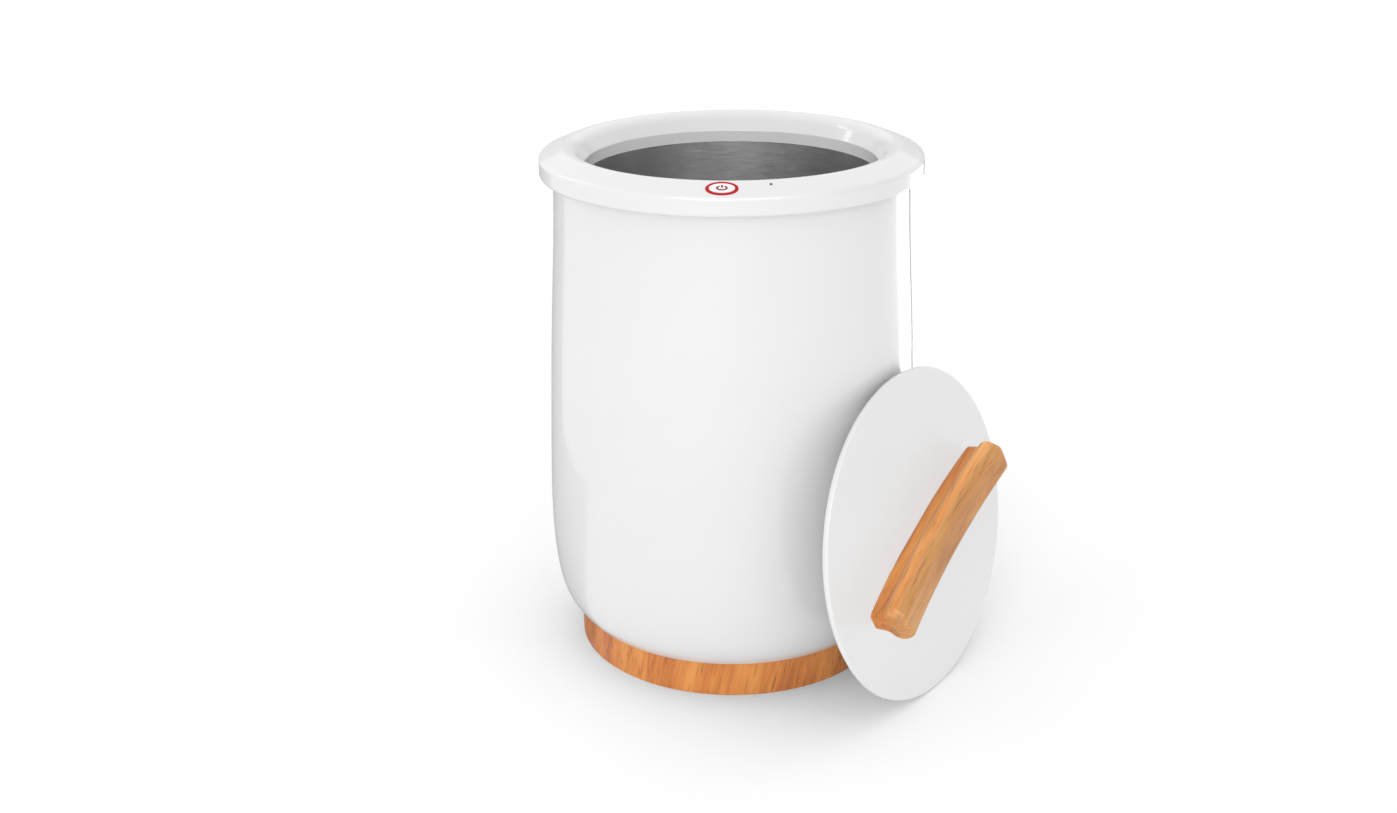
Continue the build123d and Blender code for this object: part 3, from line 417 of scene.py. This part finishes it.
MM = 0.001
HALF_LENGTH = 93.5
HALF_WIDTH = 17.5
HEIGHT = 30.5
RISE = 5.5               # how much higher the bar bows at its curve's end than at its middle
RISE_SPAN = 95.5         # distance from the middle at which it has risen that far
CORNER_EASE = 5.0        # rounding of the bar's ends, seen from above
TOP_EASE = 3.2           # rounding of the edge between its top and its ends
EASE_FROM = 8.5          # height above which that rounding lowers the section
GASKET_DEPTH = 5.2       # of the gasket's middle below the lid's outer face
TIP_RINGS = [0.0, 0.06, 0.25, 0.55, 1.0, 1.6, 2.4, 3.4, 4.6, 6.5]     # distance from the tip
RING_COUNT, RING_START, RING_STEP = 34, 9.0, 2.5                      # those after them

# Half of the section: distance from the middle and height above the lid. The foot and the top
# are plain points. Each curve is a Bezier's four points and starts where the last part ended.
FOOT = [(0.0, -1.5), (7.5, -1.5), (8.5, -0.5), (8.8, 3.5), (9.1, 7.0)]
FLARE = [(9.1, 7.0), (9.7, 12.5), (15.4, 12.0), (16.8, 17.4)]
SIDE = [(16.8, 17.4), (17.7, 21.2), (15.0, 25.4), (12.6, 28.2)]
EDGE = [(12.6, 28.2), (11.4, 29.7), (10.4, 30.1), (8.4, 30.2)]
TOP = [(6.0, 30.3), (3.0, 30.42), (0.0, HEIGHT)]

# Painted shading at each point of those parts: shade is painted on the neck and light on the
# sides.
FOOT_PAINTED_SHADING = [0.0] * 5
FLARE_PAINTED_SHADING = [0.0] * 6 + [0.15, 0.4, 0.7, 0.9]
SIDE_PAINTED_SHADING = [0.95, 1.0, 1.0, 0.92, 0.75, 0.58, 0.48, 0.43]
EDGE_PAINTED_SHADING = [0.42] * 8
TOP_PAINTED_SHADING = [0.42] * 3


def bezier(points, steps):
    """Points along a Bezier curve of any order, without its first point."""
    made = []
    for i in range(1, steps + 1):
        level = [Vector(p) for p in points]
        while len(level) > 1:
            level = [a.lerp(b, i / steps) for a, b in zip(level, level[1:])]
        made.append(tuple(level[0]))
    return made


def ease(distance, radius):
    """How far a rounded end has drawn in at a distance from its tip."""
    left = max(radius - distance, 0.0)
    return radius - sqrt(radius * radius - left * left)


def handle_section():
    """The closed section, from the middle of the foot round to it, and the painted shading at
    each point.
    """
    half = list(FOOT)
    for points, painted_shading in ((FLARE, FLARE_PAINTED_SHADING), (SIDE, SIDE_PAINTED_SHADING), (EDGE, EDGE_PAINTED_SHADING)):
        half += bezier(points, len(painted_shading))
    half += TOP
    half_painted_shading = FOOT_PAINTED_SHADING + FLARE_PAINTED_SHADING + SIDE_PAINTED_SHADING + EDGE_PAINTED_SHADING + TOP_PAINTED_SHADING
    section = half + [(-v, w) for v, w in reversed(half[1:-1])]
    return section, half_painted_shading + half_painted_shading[-2:0:-1]


def handle_ring(u, section, centre):
    """The section's points at a distance along the bar, with its rise and its rounded ends."""
    along, across, out = (Vector(axis) for axis in HANDLE_GRAIN)
    tip = HALF_LENGTH - abs(u)
    drawn = 1.0 - ease(tip, CORNER_EASE) / HALF_WIDTH
    lowered = ease(tip, TOP_EASE)
    rise = RISE * (u / RISE_SPAN) ** 2
    points = []
    for v, w in section:
        share = max(0.0, (w - EASE_FROM) / (HEIGHT - EASE_FROM))
        height = max(w + rise, 0.0) - lowered * share
        points.append(centre + (along * u + across * (v * drawn) + out * height) * MM)
    return points


def lid_centre():
    """Centre of the lid's outer face, from the middle of the gasket's box."""
    low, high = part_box("lid_gasket")
    middle = (Vector(low) + Vector(high)) / 2
    return middle + Vector(LID_OUT) * (GASKET_DEPTH * MM)


def make_handle(finish):
    """The wooden bar: one smooth skin through its rings, closed by a flat cap at each end."""
    section, painted_shading = handle_section()
    near = TIP_RINGS + [RING_START + i * RING_STEP for i in range(RING_COUNT)]
    stations = [d - HALF_LENGTH for d in near] + [HALF_LENGTH - d for d in reversed(near)]
    centre = lid_centre()
    bm = bmesh.new()
    rings = [[bm.verts.new(point) for point in handle_ring(u, section, centre)]
             for u in stations]
    count = len(section)
    for before, after in zip(rings, rings[1:]):
        for i in range(count):
            j = (i + 1) % count
            bm.faces.new((before[i], before[j], after[j], after[i]))
    bm.faces.new(list(reversed(rings[0])))
    bm.faces.new(rings[-1])
    bmesh.ops.recalc_face_normals(bm, faces=bm.faces)
    for face in bm.faces:
        face.smooth = len(face.verts) == 4
    mesh = bpy.data.meshes.new("handle_bar")
    bm.to_mesh(mesh)
    bm.free()
    # Painted shading at each point of every ring: shade on the neck, light on the sides.
    mesh.attributes.new("painted_shading", "FLOAT", "POINT").data.foreach_set("value", painted_shading * len(rings))
    bar = bpy.data.objects.new("handle_bar", mesh)
    scene.collection.objects.link(bar)
    mesh.materials.append(finish)
    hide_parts("lid_handle")
    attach(bar, "lid")
    bar.visible_diffuse = False     # its colour stays off the white lid


# ---------------------------------------------------------------- the scene

make_camera()
make_lights()
finishes = {name: maker(name, *values) for name, (maker, *values) in RECIPES.items()}
dress_nodes(finishes)
make_cards()
make_floor()
make_handle(finishes["handle_wood"])
